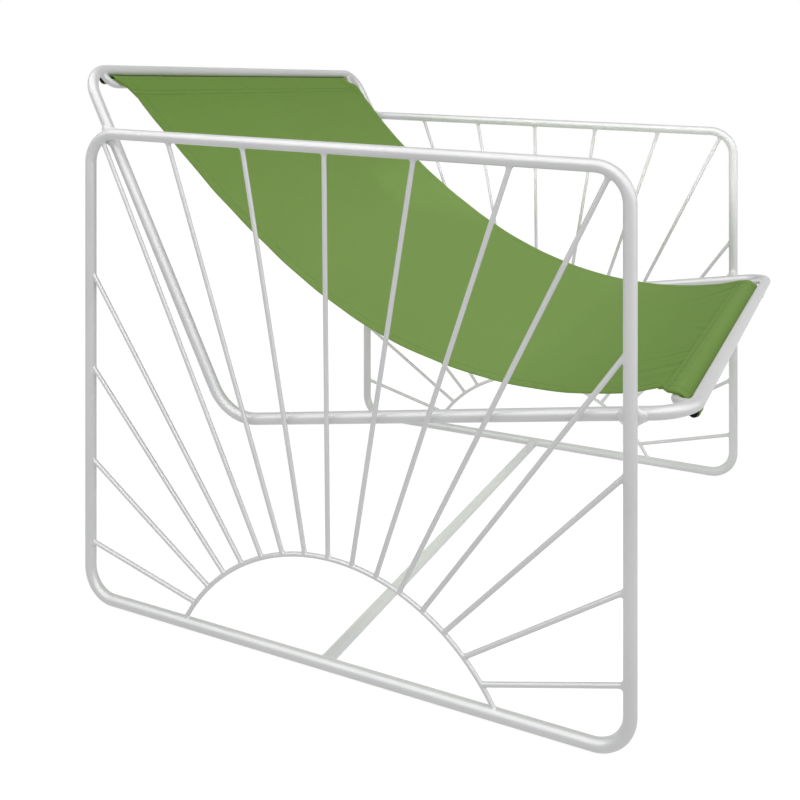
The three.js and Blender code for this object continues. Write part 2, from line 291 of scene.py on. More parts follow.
def sun_arc(name, x, rail, steps=56):
    reach = ARC_REACH - ARC_WELD_TURN
    first, last = along_arc(-reach), along_arc(reach)
    arc = start_tube(name, on_arc(x, -reach), first, RAY_R, RAY_SIDES)
    push_weld_rings(first * 0.001)
    bend(Vector((x, ARC_Y, ARC_Z)), (1, 0, 0), 2 * reach, steps)
    push_weld_rings(last * 0.001)
    bpy.ops.object.mode_set(mode="OBJECT")
    total = len(arc.data.vertices) // RAY_SIDES
    for first_ring, angle, backwards in ((0, -reach, True), (total - WELD_RINGS, reach, False)):
        way = along_arc(angle) * (1 if angle > 0 else -1)
        drop = (on_arc(x, angle).z - RAIL_Z) / -way.z
        rings = ring_list(RAY_SIDES, first_ring, WELD_RINGS, backwards)
        foot = on_arc(x, angle) + way * drop
        seat_end(arc, rings, foot, way, RAY_R, rail, WELD_LEG["arc"], name)
    return close_rod(arc)


arcs = {side: sun_arc(f"{side}_arc_rod", x, loops[side]) for side, x in SIDES.items()}
print("arc radius", round(ARC_R, 4), "faces", len(arcs["right"].data.polygons))

# %% [markdown]
# One ray is made first, as a straight rod with its weld rings. It is copied for each place, and
# each copy is stretched between the arc and the loop before its ends are seated. A plain
# cylinder for each ray would leave hard creases where a real one has welds.

# %% Make and copy the rays
RAYS, RAY_STEP, BLANK_LENGTH = 15, math.radians(7.6), 0.4
REAR_LEG = (0.117, 0.297, 0.501, 0.705)
REAR_BEND, FRONT_BEND = 0.64, 0.667
TOP_RAIL = (0.648, 0.326, 0, -0.326, -0.648)
FRONT_LEG = (0.691, 0.482, 0.281, 0.118)
HALF_LOOP = (LOOP_REAR - LOOP_FRONT) / 2


def on_top_bend(x, leg, top, share):
    """share runs from the leg (0) to the top rail (1)."""
    turn = share * math.pi / 2
    inward = LOOP_BEND * (1 - math.cos(turn))
    y = leg - inward if leg > LOOP_MIDDLE else leg + inward
    return Vector((x, y, top - LOOP_BEND * (1 - math.sin(turn))))


def ray_tips(x):
    tips = [Vector((x, LOOP_REAR, RAIL_Z + share * REAR_RISE)) for share in REAR_LEG]
    tips.append(on_top_bend(x, LOOP_REAR, REAR_TOP, REAR_BEND))
    for share in TOP_RAIL:
        z = (REAR_TOP + FRONT_TOP) / 2 + share * (REAR_TOP - FRONT_TOP) / 2
        tips.append(Vector((x, LOOP_MIDDLE + share * HALF_LOOP, z)))
    tips.append(on_top_bend(x, LOOP_FRONT, FRONT_TOP, FRONT_BEND))
    return tips + [Vector((x, LOOP_FRONT, RAIL_Z + share * FRONT_RISE)) for share in FRONT_LEG]


up = Vector((0, 0, 1))
ray_blank = start_tube("ray_blank", (0, 0, 0), up, RAY_R, RAY_SIDES)
push_weld_rings(up)
push(up * BLANK_LENGTH)
push_weld_rings(up)
bpy.ops.object.mode_set(mode="OBJECT")


def sun_ray(side, x, number):
    foot, tip = on_arc(x, (number - RAYS // 2) * RAY_STEP), ray_tips(x)[number]
    way = (tip - foot).normalized()
    ray = ray_blank.copy()
    ray.data = ray_blank.data.copy()
    ray.name = ray.data.name = f"{side}_sun_ray_{number + 1:02d}"
    bpy.context.collection.objects.link(ray)
    turn = way.to_track_quat("Z", "X").to_matrix()
    for v in ray.data.vertices:
        v.co = turn @ v.co + foot
    bpy.context.view_layer.update()
    low = ring_list(RAY_SIDES, 0, WELD_RINGS, backwards=True)
    high = ring_list(RAY_SIDES, WELD_RINGS, WELD_RINGS)
    seat_end(ray, low, foot, -way, RAY_R, arcs[side], WELD_LEG["foot"], ray.name + "low")
    seat_end(ray, high, tip, way, RAY_R, loops[side], WELD_LEG["tip"], ray.name + "high")
    return close_rod(ray)


rays = {side: [sun_ray(side, x, k) for k in range(RAYS)] for side, x in SIDES.items()}
bpy.data.objects.remove(ray_blank)
print("rays", sum(len(r) for r in rays.values()))

# %% [markdown]
# ## Floor stretcher and sling rods
# The stretcher is the one tube that joins the two bottom rails. The sling rods lie just inside
# the top and front bars. Each turns through a quarter bend at both ends and is welded to the
# bar, which leaves a slot between the two for the cloth.

# %% Weld in the stretcher and the sling rods
STRETCHER_Y, STRETCHER_INSET = LOOP_MIDDLE, 0.02
SLOT_PITCH = {"back": 0.024, "front": 0.0265}
ROD_STUB, ROD_REACH = 0.0005, 0.358
BEND_STOP, END_RUN = 0.011, 0.012


def floor_stretcher():
    start = Vector((STRETCHER_INSET - LOOP_X, STRETCHER_Y, RAIL_Z))
    leftwards = Vector((1, 0, 0))
    bar = start_tube("floor_stretcher_tube", start, leftwards, TUBE_R, TUBE_SIDES)
    push_weld_rings(leftwards)
    push(leftwards * 2 * (LOOP_X - STRETCHER_INSET))
    push_weld_rings(leftwards)
    bpy.ops.object.mode_set(mode="OBJECT")
    for first_ring, way, side in ((0, -leftwards, "right"), (WELD_RINGS, leftwards, "left")):
        rings = ring_list(TUBE_SIDES, first_ring, WELD_RINGS, backwards=side == "right")
        end = Vector((SIDES[side], STRETCHER_Y, RAIL_Z))
        seat_end(bar, rings, end, way, TUBE_R, loops[side], WELD_LEG["stretcher"], side)
    return close_rod(bar)


def sling_rod(name, bar, inward, pitch, sides=24):
    """Each bend stops short of the bar, and the rod runs straight on from there."""
    towards_bar = Vector((0, -inward[0], -inward[1]))
    line = (bar[0] + inward[0] * pitch, bar[1] + inward[1] * pitch)
    radius = pitch - ROD_STUB
    half = ROD_REACH - radius
    turn = math.acos((BEND_STOP - ROD_STUB) / radius)
    out = math.sin(turn) * radius
    rise = (1 - math.cos(turn)) * radius
    left = Vector((-1, 0, 0))
    end_way = left * math.cos(turn) + towards_bar * math.sin(turn)
    start = Vector((-half - out, *line)) + towards_bar * rise
    rod = start_tube(name, start, -end_way, SLING_ROD_R, sides)
    push_weld_rings(-end_way)
    axis = towards_bar.cross(left)
    for sign in (-1, 1):
        centre = Vector((sign * half, *line)) + towards_bar * radius
        if sign == 1:
            push(Vector((2 * half, 0, 0)))
        bend(centre, axis, turn, 10)
    other_way = Vector((-end_way.x, end_way.y, end_way.z))
    push_weld_rings(other_way)
    bpy.ops.object.mode_set(mode="OBJECT")
    total = len(rod.data.vertices) // sides
    for first_ring, way, sign in ((0, end_way, -1), (total - WELD_RINGS, other_way, 1)):
        rings = ring_list(sides, first_ring, WELD_RINGS, backwards=sign < 0)
        end = Vector((sign * (half + out), *line)) + towards_bar * rise + way * END_RUN
        seat_end(rod, rings, end, way, SLING_ROD_R, seat_tube, WELD_LEG["sling"], name)
    return close_rod(rod)


stretcher = floor_stretcher()
back_rod = sling_rod("back_rod_in_frame", TOP_BAR, DOWN_BACK, SLOT_PITCH["back"])
front_rod = sling_rod("front_rod_in_frame", FRONT_BAR, INTO_SEAT, SLOT_PITCH["front"])
for rod in (stretcher, back_rod, front_rod):
    low, high = np.array(rod.bound_box).min(0), np.array(rod.bound_box).max(0)
    print(rod.name, low.round(4), high.round(4))

# %% [markdown]
# ## Weld pads
# The seat frame crosses each side loop twice: at the front leg and near the rear top corner.
# The tubes only touch at a point there, so the welder fills the four corners round it. A flat
# pad lies between the two tubes, and only those corners of it show. It starts as a ball,
# pressed flat and drawn out along both tubes, which hollows its rim in each corner.

# %% Press the weld pads
PAD_X, PAD_R, PAD_PRESS = (LOOP_X + FRAME_X) / 2, 0.0111, 0.33
PAD_DRAWN, PAD_ARM = 0.5, 0.42


def weld_pad(name, centre, tubes, seed):
    """tubes are the angles at which the two tubes leave the crossing, seen from the side."""
    deselect()
    bpy.ops.mesh.primitive_uv_sphere_add(
        segments=64, ring_count=16, radius=PAD_R, location=(0, 0, 0)
    )
    pad = new_piece(name)
    open_mesh(pad)
    bpy.ops.transform.resize(value=(1, 1, PAD_PRESS))
    bpy.ops.object.mode_set(mode="OBJECT")
    chance = random.Random(seed)
    waves = [(k, chance.uniform(*PHASE), chance.uniform(0.005, 0.02)) for k in (3, 4, 5, 7)]
    for v in pad.data.vertices:
        angle = math.atan2(v.co.y, v.co.x)
        grow = 1 + sum(a * math.sin(k * angle + p) for k, p, a in waves)
        for tube in tubes:
            aside = abs(math.sin(angle - tube))
            grow += PAD_DRAWN * math.exp(-((aside / PAD_ARM) ** 2))
        v.co = centre + Vector((v.co.z, v.co.x * grow, v.co.y * grow))
    open_mesh(pad)
    close_mesh(sharp=None)
    return pad


CROSSINGS = {
    "front": (LOOP_FRONT, 0.3574, (math.pi / 2, -SEAT_ANGLE)),
    "rear": (0.3598, 0.6334, (math.radians(-35), BACK_ANGLE)),
}
pads = [
    weld_pad(
        f"{side}_{place}_weld_pad", Vector((math.copysign(PAD_X, x), y, z)), tubes, side + place
    )
    for side, x in SIDES.items()
    for place, (y, z, tubes) in CROSSINGS.items()
]
print("weld pads", len(pads))

# %% [markdown]
# ## Hem rods
# A black rod lies in each end pocket of the sling. It reaches past the straight part of the
# slot, to where the bends narrow it, so the cloth can't pull it through, but it slides out
# sideways for washing. It is a plain rod with its ends rounded over, so a cylinder with two
# bevelled rims is enough.

# %% Turn the hem rods
HEM_HALF, HEM_INSET, HEM_DROP, HEM_END = 0.348, 0.008, 0.0131, 0.0016


def hem_line(bar, inward, sitter):
    return tuple(bar[k] + inward[k] * HEM_INSET - sitter[k] * HEM_DROP for k in (0, 1))


def hem_rod(name, line):
    deselect()
    bpy.ops.mesh.primitive_cylinder_add(
        vertices=32,
        radius=HEM_ROD_R,
        depth=2 * HEM_HALF,
        location=(0, *line),
        rotation=(0, math.pi / 2, 0),
    )
    rod = new_piece(name)
    bpy.ops.object.modifier_add(type="BEVEL")
    rounding = rod.modifiers[-1]
    rounding.width, rounding.segments, rounding.angle_limit = HEM_END, 4, math.radians(60)
    bpy.ops.object.modifier_apply(modifier=rounding.name)
    bpy.ops.object.shade_smooth_by_angle(angle=SHARP)
    return rod


BACK_SITTER = (-math.sin(BACK_ANGLE), math.cos(BACK_ANGLE))
SEAT_SITTER = (math.sin(SEAT_ANGLE), math.cos(SEAT_ANGLE))
back_pocket = hem_line(TOP_BAR, DOWN_BACK, BACK_SITTER)
front_pocket = hem_line(FRONT_BAR, INTO_SEAT, SEAT_SITTER)
back_hem = hem_rod("back_rod_in_pocket", back_pocket)
front_hem = hem_rod("front_rod_in_pocket", front_pocket)
print("hem rods at", [round(v, 4) for v in (*back_pocket, *front_pocket)])

# %% [markdown]
# ## Sling: the line it follows
# The sling is one strip of canvas. Seen from the side, it starts under itself at the back seam,
# goes over the sling rod, down through the slot, round the black rod and back over the sling
# rod. Then it hangs to the front and does the same there. That line is worked out first, as
# distances along the strip, so the flat cut can be laid on it without stretching the cloth.

# %% Trace the strip from the side, in millimetres
CLOTH_T = 0.9
MAIN_R, POCKET_R, LAYER_GAP = 6.9, 5.95, 1.15
WRAP_R, STAND = {"back": 6.0, "front": 10.2}, {"back": 8.5, "front": 0.0}
BACK_SEAM, FRONT_SEAM = 31.0, 22.0
rod_mm = {
    "back": np.array([TOP_BAR[k] - UP_BACK[k] * SLOT_PITCH["back"] for k in (0, 1)]) * 1000,
    "front": np.array([FRONT_BAR[k] - ALONG_SEAT[k] * SLOT_PITCH["front"] for k in (0, 1)]) * 1000,
}
pocket_mm = {"back": np.array(back_pocket) * 1000, "front": np.array(front_pocket) * 1000}
DEPARTURE = {"back": math.radians(132), "front": math.radians(74.4)}
FRONT_PULL, FRONT_DIP = 0.511, math.radians(-15.6)
BACK_PULL, BACK_DIP = 0.095, math.radians(42)


def round_point(centre, radius, angle):
    return centre + radius * np.array([math.cos(angle), math.sin(angle)])


def hang_line():
    """The hanging stretch from the front rod to the back rod: a soft cubic."""
    back = round_point(rod_mm["back"], MAIN_R, DEPARTURE["back"])
    front = round_point(rod_mm["front"], MAIN_R, DEPARTURE["front"])
    span = np.linalg.norm(back - front)
    out = round_point(front, FRONT_PULL * span, FRONT_DIP)
    down = round_point(back, -BACK_PULL * span, BACK_DIP)
    t = np.linspace(0, 1, 3001)[:, None]
    lower = (1 - t) ** 3 * front + 3 * t * (1 - t) ** 2 * out
    return lower + 3 * t * t * (1 - t) * down + t**3 * back


def lengths(points):
    return np.concatenate([[0], np.cumsum(np.linalg.norm(np.diff(points, axis=0), axis=1))])


def arc_points(centre, radius, start, end):
    count = max(3, int(abs(end - start) * radius / 0.2))
    return np.array([round_point(centre, radius, a) for a in np.linspace(start, end, count)])


def left_of(line):
    """The side on the left hand at each point of a line."""
    way = np.gradient(line, axis=0)
    way /= np.linalg.norm(way, axis=1)[:, None]
    return np.stack([-way[:, 1], way[:, 0]], -1)


def run_between(start, pocket, side):
    run = pocket - start
    angle = math.atan2(run[1], run[0])
    return angle % (2 * math.pi) if side < 0 else angle, np.linalg.norm(run)


def wrap_centre(end):
    """The sewn layers are stiff, so the upper one stands up past the rod or bends over wide."""
    onwards = round_point(0, STAND[end], DEPARTURE[end] - math.pi / 2)
    return round_point(rod_mm[end], MAIN_R - WRAP_R[end], DEPARTURE[end]) + onwards


def end_line(end, side):
    """From the rod's departure point through slot and pocket to the seam under the sling.
    side is 1 at the back and -1 at the front."""
    rod, pocket, over = rod_mm[end], pocket_mm[end], wrap_centre(end)
    angle, span = run_between(over, pocket, side)
    outer = angle + side * (math.pi / 2 - math.asin((WRAP_R[end] - POCKET_R) / span))
    under_r = MAIN_R - LAYER_GAP
    angle, span = run_between(rod, pocket, side)
    inner = angle + side * (math.pi / 2 - math.asin((under_r + POCKET_R) / span))
    far = inner + math.pi * side - side * 2 * math.pi
    return [
        arc_points(over, WRAP_R[end], DEPARTURE[end], outer),
        arc_points(pocket, POCKET_R, outer, far),
        arc_points(rod, under_r, inner, DEPARTURE[end]),
    ]


line = hang_line()
hang_length = lengths(line)[-1]
print("hanging length", round(hang_length, 1), "mm")

# %% [markdown]
# The pieces are strung together from the back seam to the front seam. Every point knows which
# way the sitter's side is, how far it is from the rod it belongs to, and whether it is the
# visible layer (1), the pocket (between) or the layer underneath (0).

# %% String the strip together
FAR = 900.0


def chain(end, side):
    """For one end: points, the sitter's side, the outer side, the distances past the back and the
    front departure points, whether it is the visible layer, and whether the rod holds it."""
    wrap, pocket, under = end_line(end, side)
    hang = line[::-1] if end == "back" else line
    along = lengths(hang)
    keep = along <= (BACK_SEAM if end == "back" else FRONT_SEAM)
    up_side = left_of(hang) * -side
    below = (hang - up_side * LAYER_GAP)[keep]
    wrap_n = (wrap - wrap_centre(end)) / WRAP_R[end]
    under_n = (under - rod_mm[end]) / (MAIN_R - LAYER_GAP)
    pocket_n = (pocket - pocket_mm[end]) / POCKET_R
    points = np.concatenate([wrap, pocket, under, below])
    normals = np.concatenate([wrap_n, pocket_n, under_n, up_side[keep]])
    outside = np.concatenate([wrap_n, pocket_n, -under_n, -up_side[keep]])
    over, turn, beneath = len(wrap), len(pocket), len(under) + len(below)
    past = np.concatenate([-lengths(points)[: over + turn], np.zeros(len(under)), along[keep]])
    other = np.full(len(points), FAR)
    layer = np.concatenate([np.ones(over), np.linspace(1, 0, turn), np.zeros(beneath)])
    tight = np.concatenate([np.ones(over), np.zeros(turn), np.ones(beneath)])
    both = (past, other) if end == "back" else (other, past)
    return points, normals, outside, *both, layer, tight


def resample(points, values, gap=0.25):
    """The same lists at even steps along the strip."""
    at = lengths(points)
    s = np.arange(0, at[-1], gap)

    def even(list_of):
        if list_of.ndim == 1:
            return np.interp(s, at, list_of)
        return np.array([np.interp(s, at, part) for part in list_of.T]).T

    return s, even(points), [even(value) for value in values]


from_front, hang_up, ones = lengths(line), left_of(line), np.ones(len(line))
hanging = (line, hang_up, hang_up, hang_length - from_front, from_front, ones, ones)
points, *values = (
    np.concatenate([back[::-1], middle[::-1][1:-1], front])
    for back, middle, front in zip(chain("back", 1), hanging, chain("front", -1))
)
strip_s, strip_p, values = resample(points, values)
sitter_side, outside, back_past, front_past, layer, tight = values
STRIP_LENGTH = strip_s[-1]
print("strip length", round(STRIP_LENGTH, 1), "mm")

# %% [markdown]
# ## Sling: its edges and its creases
# The cloth isn't quite square on the chair. Both edges draw in at the front seam and spread
# over the front rod. At the back they spread too, and the left one draws in again where it
# bends over the rod. A hem 20 mm wide is turned under along both sides. Small creases run from
# the seams into the cloth, because the stitching shortens it, and the hems ripple likewise.

# %% Where the edges lie
CUT_HALF, HEM, CREASED_HALF = 350.0, 20.0, 325
FOLD = CUT_HALF - HEM
RIGHT_EDGE = (
    (-430, -340), (-387, -340), (-377, -331), (-369, -314), (-362, -313), (-330, -319),
    (-264, -324), (-41, -323), (145, -315), (286, -317), (372, -326), (384, -331), (394, -343),
    (440, -345),
)
LEFT_EDGE = (
    (-430, 316), (-400, 318), (-387, 322), (-368, 331), (-264, 336), (-41, 340),
    (145, 340), (286, 338), (366, 350), (379, 350), (392, 331), (397, 333), (406, 346), (440, 348),
)
chance = np.random.RandomState(11)


def crease_set(count, reach, width, height, slant):
    """Each crease: where it starts across the cloth, its slant, width, reach and height."""
    return [
        (
            -CREASED_HALF + 2 * CREASED_HALF * (k + chance.uniform(0.1, 0.9)) / count,
            chance.uniform(-slant, slant),
            chance.uniform(*width),
            chance.uniform(*reach),
            chance.uniform(*height) * chance.choice([-1, -1, 1]),
        )
        for k in range(count)
    ]


FRONT_FOLDS = [
    (-318, 0.55, 3.4, 46, 0.9), (-309, 0.28, 4.0, 40, -0.8), (-296, -0.3, 4.0, 20, 0.8),
    (-262, -0.5, 4.0, 25, -0.6), (-243, -0.55, 4.5, 38, 0.9), (-218, -0.6, 4.0, 40, -1.0),
    (-205, -0.5, 3.5, 30, 0.8), (-172, -0.6, 4.0, 34, 0.9), (-160, -0.65, 4.0, 38, -1.1),
    (-150, -0.6, 3.5, 30, 0.9), (-136, -0.5, 4.0, 22, -0.6), (-60, 0.6, 4.0, 25, 0.4),
    (-31, 1.05, 4.5, 17, -1.2), (-20, 1.1, 5.0, 20, 1.0), (24, 0.3, 5.0, 20, -0.4),
    (120, -0.4, 5.0, 25, 0.4), (190, -1.2, 7.0, 25, 0.5), (262, -1.7, 11.0, 34, 0.9),
    (284, -1.8, 9.0, 34, -1.6), (296, -1.6, 7.0, 26, 0.8),
]
FRONT_PULLS = [
    (-296, 0.1, 4.0, 14, 0.5), (-288, 0.3, 3.0, 10, -0.5), (-262, 0.2, 3.0, 12, 0.35),
    (-247, 0.5, 3.5, 14, -0.55), (-240, 0.5, 3.0, 14, 0.5), (-225, 0.4, 4.0, 10, -0.35),
    (-190, 0.1, 4.0, 8, 0.3), (-150, 0.05, 3.0, 10, -0.35), (-80, 0.1, 3.0, 6, -0.2),
    (22, -0.2, 2.5, 8, -0.35), (28, -0.2, 3.0, 8, 0.25), (130, 0.0, 4.0, 6, 0.2),
    (262, -0.5, 3.0, 9, -0.5), (270, -0.8, 3.0, 10, 0.5), (285, -0.6, 3.0, 10, -0.5),
]
small_front = crease_set(40, (8, 26), (2.0, 4.0), (0.12, 0.4), 0.5)
small_back = crease_set(60, (4, 14), (1.6, 3.2), (0.1, 0.3), 0.5)
back_pulls = crease_set(26, (6, 18), (2.5, 5.0), (0.1, 0.3), 0.9)


def creases(u, beyond, table):
    """beyond is the distance from the seam, out to the side on which the creases lie."""
    rise = np.zeros_like(u)
    reach_in = np.clip(beyond, 0, None)
    for start, slant, width, reach, height in table:
        across = (u - start - slant * reach_in) / (width * (1 + reach_in / 90))
        rise += height * np.exp(-(across**2)) * np.exp(-reach_in / reach)
    return rise * np.clip((beyond + 3) / 3, 0, 1)


def ridge(value, centre, half):
    return np.exp(-(((value - centre) / half) ** 2))


# %% [markdown]
# One function lays any point of the flat cut in its place on the chair. It is used for the
# cloth itself and for every stitch, so the thread always lies on the cloth. u is across the
# cut, s along it, and lift is how far the point stands off the cloth's middle.

# %% Lay the flat cut on its line
BACK_ROWS, FRONT_ROWS, HEM_ROW = (19.5, 27.0), (8.0, 16.0), HEM - 3
SAG, HEM_STAND, POCKET_STAND, FOLD_R = 7.0, 1.7, 0.5, 0.55
CREASE_GAIN, GROOVE_DEPTH, PUFF_HEIGHT, HEM_STEP = 1.3, 0.45, 0.24, 0.35
DOUBLED_TO, DOUBLED_EASE, HEM_EASE = 46, 30, 5


def along_strip(s, *tables):
    return (np.interp(s, strip_s, table) for table in tables)


def folds(u, s):
    """How far the creases stand above the cloth, in millimetres."""
    b_past, f_past = along_strip(s, back_past, front_past)
    rise = creases(u, f_past - FRONT_ROWS[1], FRONT_FOLDS + small_front)
    rise += creases(u, FRONT_ROWS[0] - f_past, FRONT_PULLS) * (f_past < 40)
    rise += creases(u, b_past - BACK_ROWS[1], small_back)
    return rise + creases(u, BACK_ROWS[0] - b_past, back_pulls) * (b_past < 50)


def seams(u, s):
    """The sewn rows press a groove and the cloth puckers between them and beside them."""
    b_past, f_past, on_top = along_strip(s, back_past, front_past, layer)
    on_top = on_top > 0.99
    pucker = 1 + 0.5 * np.sin(u / 1.9) + 0.5 * np.sin(u / 3.1 + 1.0)
    groove, puff = np.zeros_like(u), np.zeros_like(u)
    slack_side = np.clip((150 - u) / 220, 0.2, 1)
    for past, rows, depth in ((f_past, FRONT_ROWS, 1), (b_past, BACK_ROWS, slack_side)):
        groove += depth * (ridge(past, rows[0], 1.0) + 0.7 * ridge(past, rows[1], 1.0))
        puff += depth * pucker * ridge(past, sum(rows) / 2, 2.2)
    inside = FOLD - np.abs(np.clip(u, -FOLD, FOLD))
    free = np.clip(np.minimum(b_past, f_past) / 6, 0, 1)
    beat = 1 + 0.6 * np.sin(s / 2.1) + 0.4 * np.sin(s / 3.7 + 0.5)
    groove += ridge(inside, HEM_ROW, 1.0) * free
    puff += 0.6 * beat * (ridge(inside, HEM + 0.5, 2.4) + ridge(inside, HEM - 6, 2.0)) * free
    return groove * on_top, puff * on_top


def crease_light_and_shade(u, s):
    """Painted light and shade for the creases: paler where they stand up, darker where they lie
    deep and in the sewn grooves, a little paler on the puckers.
    """
    groove, puff = seams(u, s)
    return 0.5 * folds(u, s) - 0.55 * groove + 0.16 * puff


def unit(y, z):
    length = np.maximum(np.hypot(y, z), 1e-6)
    return y / length, z / length


def lay(u, s, lift=0.0):
    """Places on the chair, in metres, for places on the flat cut."""
    u, s = np.asarray(u, float), np.asarray(s, float)
    y, z = along_strip(s, *strip_p.T)
    up_y, up_z = unit(*along_strip(s, *sitter_side.T))
    out_y, out_z = unit(*along_strip(s, *outside.T))
    b_past, f_past, on_top, held = along_strip(s, back_past, front_past, layer, tight)

    right = np.interp(y, *zip(*RIGHT_EDGE))
    left = np.interp(y, *zip(*LEFT_EDGE))
    flat = np.clip(u, -FOLD, FOLD)
    share = (flat + FOLD) / (2 * FOLD)
    ripple = 0.5 * np.sin(s / 11.0 + 1.3) + 0.4 * np.sin(s / 27.0)
    x = right + (left - right) * share
    x = x - np.sign(u) * ripple * ridge(FOLD - np.abs(flat), 0, 8)

    inside = FOLD - np.abs(flat)
    side = np.clip((HEM + HEM_EASE - inside) / HEM_EASE, 0, 1)
    side = side * side * (3 - 2 * side)
    past = np.minimum(b_past, f_past)
    doubled = np.clip((DOUBLED_TO - past) / DOUBLED_EASE, 0, 1)
    over_rod = HEM_STAND * on_top * doubled * np.clip(1 + b_past / 5, 0, 1)
    rise = side * np.where(held > 0.5, over_rod, POCKET_STAND)

    along = np.clip((y - rod_mm["front"][0]) / (rod_mm["back"][0] - rod_mm["front"][0]), 0, 1)
    middle = 2 * share - 1
    sag = SAG * np.sin(math.pi * along) ** 2 * (1 - middle**2)
    free = np.clip(past / 6, 0, 1)
    soft = 0.9 * np.sin(u / 61.0 + s / 170.0) + 0.7 * np.sin(u / 95.0 - s / 83.0 + 2.0)
    form = free * soft * np.sin(math.pi * along)
    groove, puff = seams(u, s)
    form += CREASE_GAIN * folds(u, s) * on_top - GROOVE_DEPTH * groove + PUFF_HEIGHT * puff
    form += HEM_STEP * np.clip((HEM - inside) / 1.5, 0, 1) * free

    y = y + up_y * form + out_y * rise
    z = z + up_z * form + out_z * rise - sag

    turned = np.clip(np.abs(u) - FOLD, 0, None)
    angle = np.minimum(turned / FOLD_R, math.pi)
    under = FOLD_R * (1 - np.cos(angle))
    outwards = FOLD_R * np.sin(angle) - np.clip(turned - math.pi * FOLD_R, 0, None)
    x = x + np.sign(u) * outwards
    tilt = np.cos(angle)
    y = y - out_y * under + out_y * lift * tilt
    z = z - out_z * under + out_z * lift * tilt
    x = x + np.sign(u) * np.sin(angle) * lift

    at_back = b_past < f_past
    radius = (np.where(at_back, SLOT_PITCH["back"], SLOT_PITCH["front"]) - ROD_STUB) * 1000
    reach = np.clip(np.abs(x) - (ROD_REACH * 1000 - radius), 0, 20)
    climb = radius - np.sqrt(radius**2 - reach**2)
    climb *= np.clip(1 - past / 45, 0, 1) * np.clip(1 + past / 16, 0, 1)
    y = y + climb * np.where(at_back, UP_BACK[0], ALONG_SEAT[0])
    z = z + climb * np.where(at_back, UP_BACK[1], ALONG_SEAT[1])
    return np.stack([x, y, z], -1) / 1000


# %% [markdown]
# ## Sling: cut, hang and thicken
# The cloth starts as a flat grid of the real cut. Its rows and columns are drawn closer
# together where it is sewn or bent, because creases need points to live on, and its UV map
# keeps the flat cut in metres, so the weave has its true scale everywhere. Then each point is
# laid on the chair and a Solidify modifier gives the canvas its thickness.

# %% Cut and hang the cloth
def spaced(stops):
    """Places between stops of (position, step), each stretch with its own even step."""
    out = []
    for (a, step), (b, _) in zip(stops, stops[1:]):
        count = max(1, round((b - a) / step))
        out += list(np.linspace(a, b, count, endpoint=False))
    return np.array(out + [stops[-1][0]])


fold_turn = math.pi * FOLD_R
half = spaced([
    (0, 7.5), (FOLD - 36, 4.0), (FOLD - 26, 1.6), (FOLD - 12, 3.0), (FOLD - 3, 1.5),
    (FOLD, fold_turn / 4), (FOLD + fold_turn, 4.6), (CUT_HALF, 1),
])
columns = np.concatenate([-half[:0:-1], half])
visible = layer > 0.99
back_start = strip_s[visible & (back_past > 0.5)][0]
front_start = strip_s[visible & (front_past > 0.5)][-1]
rows = spaced([
    (0, 2.2), (BACK_SEAM, 1.15), (back_start + 12, 1.3), (back_start + 34, 2.6),
    (back_start + 70, 7.5), (front_start - 100, 4.0), (front_start - 60, 2.2),
    (front_start - 24, 1.2), (front_start, 1.15), (STRIP_LENGTH - FRONT_SEAM, 2.2),
    (STRIP_LENGTH, 1),
])
deselect()
bpy.ops.mesh.primitive_grid_add(
    x_subdivisions=len(columns) - 1, y_subdivisions=len(rows) - 1, size=1, location=(0, 0, 0)
)
sling = new_piece("canvas_sling")
grid = np.zeros(len(sling.data.vertices) * 3)
sling.data.vertices.foreach_get("co", grid)
grid = grid.reshape(-1, 3)
column = np.rint((grid[:, 0] + 0.5) * (len(columns) - 1)).astype(int)
row = np.rint((grid[:, 1] + 0.5) * (len(rows) - 1)).astype(int)
cut_u, cut_s = columns[column], rows[row]
sling.data.vertices.foreach_set("co", lay(cut_u, cut_s).ravel())
corner = np.zeros(len(sling.data.loops), int)
sling.data.loops.foreach_get("vertex_index", corner)
cut_uv = np.stack([cut_u[corner], cut_s[corner]], -1) / 1000
sling.data.uv_layers.active.data.foreach_set("uv", cut_uv.ravel())
# Painted light and shade for the creases, kept on each point for the canvas.
rubbed = sling.data.attributes.new("rubbed", "FLOAT", "POINT")
rubbed.data.foreach_set("value", 0.5 + 0.5 * np.clip(crease_light_and_shade(cut_u, cut_s), -1, 1))
sling.data.update()
bpy.ops.object.modifier_add(type="SOLIDIFY")
sling.modifiers[-1].thickness = CLOTH_T / 1000
sling.modifiers[-1].offset = 0
bpy.ops.object.modifier_apply(modifier=sling.modifiers[-1].name)
open_mesh(sling)
close_mesh(sharp=None)
print("sling", len(columns), "x", len(rows), "points,", len(sling.data.polygons), "faces")

# %% [markdown]
# ## Stitching
# The seams are sewn with thick thread: two rows across each end and one row along each hem.
# One stitch is a short rod with rounded ends, and it is copied along each row. Modelled thread
# catches the light in close views, which a painted line can't do.

# %% Sew the seams
STITCH, STITCH_STEP, THREAD_R, THREAD_LIFT = 2.6, 3.4, 0.32, 0.14


def stitch_blank():
    deselect()
    bpy.ops.mesh.primitive_cylinder_add(
        vertices=6, radius=THREAD_R / 1000, depth=STITCH / 1000, location=(0, 0, 0)
    )
    blank = bpy.context.object
    open_mesh(blank)
    bpy.ops.mesh.bevel(offset=0.00014, segments=1)
    bpy.ops.object.mode_set(mode="OBJECT")
    return blank


